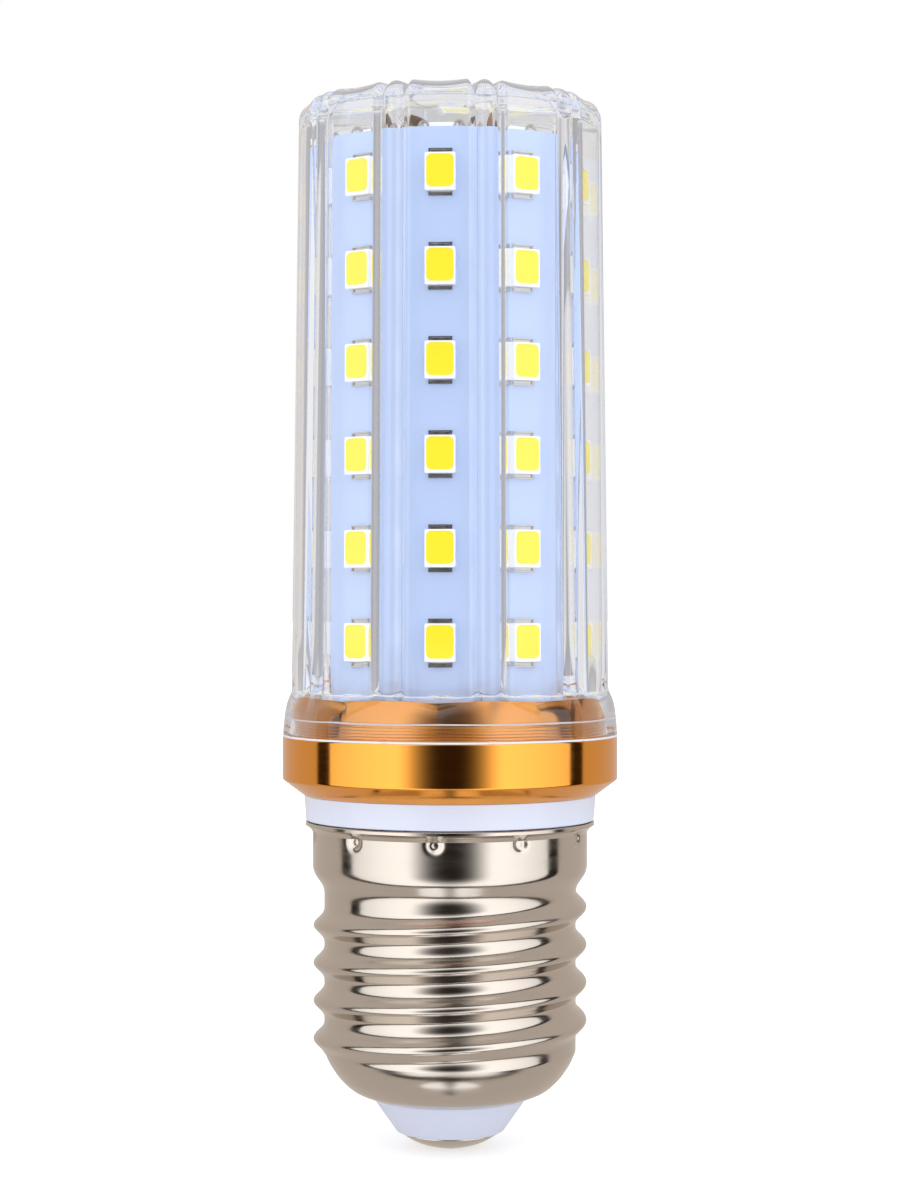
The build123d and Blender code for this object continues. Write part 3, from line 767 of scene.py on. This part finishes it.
# Solder joints
# Small domes of solder that join the top board to the boards around it, two to each board.
solder_radius = 0.6
solder_rise = 0.8
solder_offset = 1.6
board_inner = 11.1
solder_columns = 12
solder_tin = new_material("solder_tin", Base_Color=(0.83, 0.82, 0.80, 1), Metallic=1.0)
grained(solder_tin, (1, 1, 1), 900.0, (0.18, 0.32), 0.2, 0.02)
dome_outline = [(0, 0)]
dome_outline += [(solder_radius * cos(turn), solder_rise * sin(turn) ** 1.3)
                 for turn in (radians(90) * step / 4 for step in range(4))]
dome_outline.append((0, solder_rise))
joint_ring = ring_tree("solder_ring", solder_tin)
joint_turn = atan2(solder_offset, board_inner)
joints = []
for side in (-1, 1):
    dome = turned("solder_domes", dome_outline, solder_tin, solder_columns, 80)
    grown(dome, joint_ring, Count=board_count, Radius=hypot(solder_offset, board_inner) * MM,
          Height=board_top * MM, Phase=side * joint_turn)
    joints.append(dome)
solder = joined(*joints)
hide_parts("board_solder")
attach(solder, "root")

# Clear cover
# Moulded clear plastic with a window before each board, a narrow rib between two windows and
# shallow valleys between them. It is closed at the crown, and its plain flange fits the collar.
crown_height = 100.3
crown_ridge = 14.55
crown_rounding = 1.6
draft = tan(radians(0.72))
flute_cut = 0.9
crown_cut = 1.0
crown_drop = 0.75
window_dip = 1.2
window_flat = 11.3
valley_turn = 14.0
window_bulge = 0.08
cavity_radius = 13.25
cavity_top = 98.9
cavity_rounding = 1.6
bore_of_flange = 15.0
bore_top = 43.8
bore_bevel = 0.15
flange_points = ((39.55, 15.98), (39.65, 16.1), (41.1, 16.0), (42.5, 15.85), (43.6, 15.5), (44.4, 14.95),
                 (45.1, 14.3))
flange_blur = 0.2
flange_blur_foot = 40.1
flange_limit = 46.2
shoulder_top = 46.5
shoulder_steps = 35
wall_steps = 10
flute_blend = 0.15
corner_blur = 0.7
crown_steps = 8
foot_line_top = 39.73
step_line = (41.15, 41.3)
flange_middle = 15.4
columns_per_board = 48
cover_columns = columns_per_board * board_count
board_turn = 360 / board_count


def from_window(angle):
    """Degrees from the middle of the nearest window."""
    return abs((angle + board_turn / 2) % board_turn - board_turn / 2)


def flute_radius(angle, ridge):
    """Radius of the fluted outline at an angle: flat windows, round ribs."""
    offset = from_window(angle)
    valley = ridge - flute_cut
    if offset < window_flat:
        chord = ridge * cos(radians(window_flat)) / cos(radians(offset))
        return chord + window_bulge * (1 - (offset / window_flat) ** 2)
    if offset < valley_turn:
        share = (offset - window_flat) / (valley_turn - window_flat)
        return valley + flute_cut * (1 - share)
    share = (board_turn / 2 - offset) / (board_turn / 2 - valley_turn)
    return valley + flute_cut * (1 - share**2) ** 0.5


def soft_flute(angle, ridge):
    """The same outline with its corners rounded by averaging it over a small angle."""
    samples = [flute_radius(angle + corner_blur * step / 3, ridge) for step in range(-3, 4)]
    return sum(samples) / len(samples)


def flange_radius(height):
    """Radius of the flange and its shoulder at a height, below their top."""
    for (low, wide), (high, narrow) in zip(flange_points, flange_points[1:]):
        if height <= high:
            return wide + (narrow - wide) * (height - low) / (high - low)
    return 0.0


def soft_flange(height):
    """The flange's outline with its corners rounded."""
    if height < flange_blur_foot:
        return flange_radius(height)
    samples = [flange_radius(height + flange_blur * step) for step in range(-3, 4)]
    return sum(samples) / len(samples)


def greater(a, b):
    """The greater of two radii, with a small blend where they are near each other."""
    return 0.5 * (a + b + ((a - b) ** 2 + flute_blend**2 * 0.25) ** 0.5)


cover_verts = []
cover_angles = [column * 360 / cover_columns for column in range(cover_columns)]
flutes = [soft_flute(angle, crown_ridge) for angle in cover_angles]
hollows = [(crown_ridge - radius) / flute_cut for radius in flutes]


def add_ring(radii, heights):
    """Adds a ring of points to the cover, with a radius and a height at each of its angles."""
    for angle, radius, height in zip(cover_angles, radii, heights):
        turn = radians(angle - 90)
        cover_verts.append((radius * cos(turn), radius * sin(turn), height))


# The outside: flange and shoulder, fluted wall, rounded crown, flat crown.
wall_rows = [seat_height]
wall_rows += [foot_line_top + (shoulder_top - foot_line_top) * row / shoulder_steps
              for row in range(shoulder_steps + 1)]
wall_rows += [shoulder_top + (crown_height - crown_rounding - shoulder_top) * row / wall_steps
              for row in range(1, wall_steps + 1)]
for height in wall_rows:
    ridge = crown_ridge + (crown_height - height) * draft
    radii = []
    for angle in cover_angles:
        radius = soft_flute(angle, ridge)
        dip = window_dip * max(0, 1 - 2 * from_window(angle) / board_turn)
        shelf = soft_flange(height + dip) if height < flange_limit else 0.0
        radii.append(greater(radius, shelf) if shelf else radius)
    add_ring(radii, [height] * cover_columns)
for step in range(1, crown_steps + 1):
    inwards = 1 - cos(radians(90) * step / crown_steps)
    upwards = sin(radians(90) * step / crown_steps)
    add_ring([radius - (crown_rounding + crown_cut * hollow) * inwards
              for radius, hollow in zip(flutes, hollows)],
             [crown_height - crown_rounding * (1 - upwards) - crown_drop * hollow * upwards
              for hollow in hollows])
flat_rings = ((11.6, 0.5), (10.4, 0.2), (9.0, 0.0), (4.5, 0.0), (1.5, 0.0))
for radius, share in flat_rings:
    add_ring([radius] * cover_columns, [crown_height - crown_drop * share * hollow for hollow in hollows])

# The inside: the cavity's top, its round, its wall, the step to the flange's bore, the bore.
stretches = [1 / cos(radians(min(from_window(angle), window_flat))) for angle in cover_angles]
inside = [(1.5, cavity_top), (4.5, cavity_top), (9.0, cavity_top)]
cavity_round = (cavity_radius - cavity_rounding, cavity_top - cavity_rounding)
inside += arc_points(cavity_round, cavity_rounding, 90, 0, 8)
inside += [(cavity_radius, 90.0), (cavity_radius, 70.0), (cavity_radius, 50.0),
           (cavity_radius, bore_top + bore_bevel), (cavity_radius + bore_bevel, bore_top),
           (bore_of_flange - bore_bevel, bore_top), (bore_of_flange, bore_top - bore_bevel),
           (bore_of_flange, step_line[1]), (bore_of_flange, step_line[0]), (bore_of_flange, seat_height)]
for radius, height in inside:
    in_windows = bore_top < height < cavity_top
    add_ring([radius * (stretch if in_windows else 1) for stretch in stretches], [height] * cover_columns)
ring_count = len(cover_verts) // cover_columns
outer_rings = len(wall_rows) + crown_steps + len(flat_rings)
cover_faces = []
for ring in range(ring_count):
    above = (ring + 1) % ring_count
    for column in range(cover_columns):
        nearby = (column + 1) % cover_columns
        if ring != outer_rings - 1:
            cover_faces.append((ring * cover_columns + column, ring * cover_columns + nearby,
                                above * cover_columns + nearby, above * cover_columns + column))
cover_faces.append(tuple((outer_rings - 1) * cover_columns + column for column in range(cover_columns)))
cover_faces.append(tuple(outer_rings * cover_columns + column for column in reversed(range(cover_columns))))

clear_plastic = new_material("clear_plastic", Base_Color=(1, 1, 1, 1), Transmission_Weight=1.0, IOR=1.5,
                             Roughness=0.0, Specular_IOR_Level=0.3)
long_way_limits = (2.5, 6.5)


def long_way(tree):
    """1 for light that has been reflected three times or more, or has met many surfaces."""
    path_of_light = add_node(tree, "ShaderNodeLightPath").outputs
    return math_node(tree, "MAXIMUM",
                     math_node(tree, "GREATER_THAN", path_of_light["Glossy Depth"], long_way_limits[0]),
                     math_node(tree, "GREATER_THAN", path_of_light["Ray Depth"], long_way_limits[1]))


# Light that would stay inside the plastic for ever leaves it after a few reflections. The outer foot of the
# flange and a step in its bore carry opaque grey-white bands: painted highlight lines where the clear edges
# catch the light.
inside_plastic = clear_plastic.node_tree
way_out = add_node(inside_plastic, "ShaderNodeBsdfTransparent")
leaving = add_node(inside_plastic, "ShaderNodeMixShader",
                   {0: long_way(inside_plastic), 1: inside_plastic.nodes["Principled BSDF"].outputs[0],
                    2: way_out.outputs[0]})
inside_plastic.links.new(leaving.outputs[0], inside_plastic.nodes["Material Output"].inputs["Surface"])
# Opaque grey-white material for the flange's foot and bore step: a painted highlight, not a white edge of the
# plastic.
painted_highlight_band = new_material("moulded_edge", Base_Color=(0.62, 0.62, 0.64, 1), Roughness=0.4)
cover = finished("clear_cover", cover_verts, cover_faces, clear_plastic, 50)
# The faces at the flange's foot and at its bore step take the painted highlight material.
cover.data.materials.append(painted_highlight_band)
for polygon in cover.data.polygons:
    middle = polygon.center.z / MM
    outer = hypot(polygon.center.x, polygon.center.y) / MM > flange_middle
    low, high = (seat_height + 0.01, foot_line_top) if outer else step_line
    polygon.material_index = int(low < middle < high)
cover.visible_shadow = False
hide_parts("cover")
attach(cover, "root")

# Studio
# A pale floor under a white surround. What metal mirrors, what the clear cover shows and what
# lights matt surfaces are three parts of the surround, chosen by the kind of light that meets it.
photo_height = 1200
photo_scale = 10.37
view_height = 52.6
view_distance = 250.0
view_turn = 4.0
sensor = 36.0
camera_data = bpy.data.cameras.new("camera")
camera_data.sensor_fit = "VERTICAL"
camera_data.sensor_height = sensor
camera_data.lens = sensor * view_distance / (photo_height / photo_scale)
camera_data.clip_start = 0.01
camera = bpy.data.objects.new("camera", camera_data)
view_angle = radians(view_turn - 90)
camera.location = (view_distance * cos(view_angle) * MM, view_distance * sin(view_angle) * MM,
                   view_height * MM)
camera.rotation_euler = (radians(90), 0, view_angle + radians(90))
bpy.context.collection.objects.link(camera)
bpy.context.scene.camera = camera
bpy.context.scene.view_settings.view_transform = "Standard"

floor_half = 6.0
floor_mesh = bpy.data.meshes.new("floor")
floor_mesh.from_pydata([(-floor_half, -floor_half, 0), (floor_half, -floor_half, 0),
                        (floor_half, floor_half, 0), (-floor_half, floor_half, 0)], [], [(0, 1, 2, 3)])
floor_white = new_material("floor_white", Base_Color=(0.6, 0.6, 0.6, 1), Roughness=0.9,
                           Emission_Color=(1, 1, 1, 1), Emission_Strength=0.45)
grained(floor_white, (1, 1, 1), 30.0, (0.8, 0.95), 0.02, 0.1)
floor_mesh.materials.append(floor_white)
floor = bpy.data.objects.new("floor", floor_mesh)
bpy.context.collection.objects.link(floor)
floor.visible_glossy = False
floor.visible_transmission = False

# The surround by its angle from the camera's side in degrees. Polished metal mirrors one wide
# panel with round ends, a dark oval in its middle where the camera stands, a dark edge round it and
# a warm grey room. Through the clear cover the panel has a softer middle.
panel = ((0, (1.5, 1.5, 1.5)), (40, (1.75, 1.75, 1.75)), (60, (1.6, 1.6, 1.6)), (90, (1.2, 1.2, 1.2)),
         (180, (1, 1, 1)))
through = ((0, (0.36, 0.35, 0.36)), (16, (0.36, 0.35, 0.36)), (27, (1.3, 1.3, 1.3)), (84, (1.3, 1.3, 1.3)),
           (88, (0.36, 0.35, 0.36)), (98, (0.36, 0.35, 0.36)), (104, (0.70, 0.69, 0.70)),
           (180, (0.90, 0.90, 0.91)))
behind_cover = (0.62, 0.62, 0.62)
world = bpy.data.worlds.new("studio")
world.use_nodes = True
sky = world.node_tree
bpy.context.scene.world = world
direction = add_node(sky, "ShaderNodeTexCoord").outputs["Generated"]
level = add_node(sky, "ShaderNodeVectorMath", {0: direction, 1: (1, 1, 0)}, operation="MULTIPLY")
unit = add_node(sky, "ShaderNodeVectorMath", {0: level.outputs[0]}, operation="NORMALIZE")
toward = add_node(sky, "ShaderNodeVectorMath", {0: unit.outputs[0], 1: (cos(view_angle), sin(view_angle), 0)},
                  operation="DOT_PRODUCT")
turn_away = math_node(sky, "DIVIDE", math_node(sky, "ARCCOSINE", toward.outputs["Value"]), pi)
rise_here = add_node(sky, "ShaderNodeSeparateXYZ", {0: direction}).outputs[2]
steepness = math_node(sky, "ABSOLUTE", rise_here)


def colour_ring(stops):
    """A colour ramp round the surround, at half its strength because a ramp ends at 1."""
    ramp = add_node(sky, "ShaderNodeValToRGB", {"Fac": turn_away})
    while len(ramp.color_ramp.elements) < len(stops):
        ramp.color_ramp.elements.new(1.0)
    for element, (angle, glow) in zip(ramp.color_ramp.elements, stops):
        element.position = angle / 180
        element.color = (*(value / 2 for value in glow), 1)
    return add_node(sky, "ShaderNodeVectorMath", {0: ramp.outputs["Color"], 1: (2, 2, 2)},
                    operation="MULTIPLY").outputs[0]


def mixed(share, first, second):
    """A mix of two colours of the surround."""
    node = sky.nodes.new("ShaderNodeMix")
    node.data_type = "RGBA"
    sky.links.new(share, node.inputs[0])
    for slot, value in ((6, first), (7, second)):
        if isinstance(value, bpy.types.NodeSocket):
            sky.links.new(value, node.inputs[slot])
        else:
            node.inputs[slot].default_value = value
    return node.outputs[2]


def oval(width, reach, roundness, height=0.0):
    """1 on the edge of a shape around the camera's side, less inside it and more outside."""
    across_it = math_node(sky, "POWER", math_node(sky, "DIVIDE", turn_away, width / 180), roundness)
    above_it = math_node(sky, "ABSOLUTE", math_node(sky, "SUBTRACT", rise_here, height))
    up_it = math_node(sky, "POWER", math_node(sky, "DIVIDE", above_it, reach), 2.0)
    return math_node(sky, "ADD", across_it, up_it)


room = mixed(smooth_step(sky, turn_away, 0.03, 0.25), (0.10, 0.085, 0.07, 1), (0.64, 0.58, 0.52, 1))
black = (0.02, 0.014, 0.01, 1)
low_panel = mixed(smooth_step(sky, oval(24, 1, 2.0), 0.6, 1.4), black, (1.5, 1.5, 1.5, 1))
# What metal mirrors, from the back to the front: each shape's width in degrees, its reach upwards, the
# roundness of its ends and its height, then its soft edge and the colour inside it.
mirror_shapes = (
    ((60, 0.04, 2.0, -0.945), (0.8, 1.1), low_panel),
    ((101.5, 0.86, 4.0), (1.0, 1.06), black),
    ((90, 0.82, 4.0), (0.95, 1.0), colour_ring(panel)),
    ((29, 0.72, 2.0), (0.0, 1.6), black),
)
metal_sees = room
for shape, soft_edge, colour in mirror_shapes:
    metal_sees = mixed(smooth_step(sky, oval(*shape), *soft_edge), colour, metal_sees)
cover_sees = mixed(smooth_step(sky, steepness, 0.15, 0.4), colour_ring(through), (0.80, 0.80, 0.83, 1))
soft_light = mixed(smooth_step(sky, turn_away, 0.3, 0.7), (1.6, 1.6, 1.61, 1), (1.2, 1.2, 1.22, 1))

# Light that has met metal behind the cover sees what metal sees, dimmed. Light that has been inside
# the cover for long sees plain greys, and light that has met a matt surface sees the soft light.
light_path = add_node(sky, "ShaderNodeLightPath").outputs
one_mirror = math_node(sky, "COMPARE", light_path["Glossy Depth"], 1.0, 0.1)
metal_behind = math_node(sky, "MULTIPLY", one_mirror,
                         math_node(sky, "GREATER_THAN", light_path["Transmission Depth"], 3.5))
dimmed = add_node(sky, "ShaderNodeVectorMath", {0: metal_sees, 1: behind_cover}, operation="MULTIPLY")
from_cover = mixed(metal_behind, cover_sees, dimmed.outputs[0])
seen = mixed(light_path["Is Glossy Ray"], soft_light, metal_sees)
seen = mixed(light_path["Is Transmission Ray"], seen, from_cover)
trapped_sees = mixed(smooth_step(sky, steepness, 0.1, 0.8), (0.42, 0.42, 0.45, 1),
                     (0.78, 0.80, 0.85, 1))
seen = mixed(long_way(sky), seen, trapped_sees)
seen = mixed(math_node(sky, "GREATER_THAN", light_path["Diffuse Depth"], 0.5), seen, soft_light)
seen = mixed(light_path["Is Camera Ray"], seen, (1, 1, 1, 1))
backdrop = sky.nodes["Background"]
sky.links.new(seen, backdrop.inputs["Color"])
backdrop.inputs["Strength"].default_value = 1.0
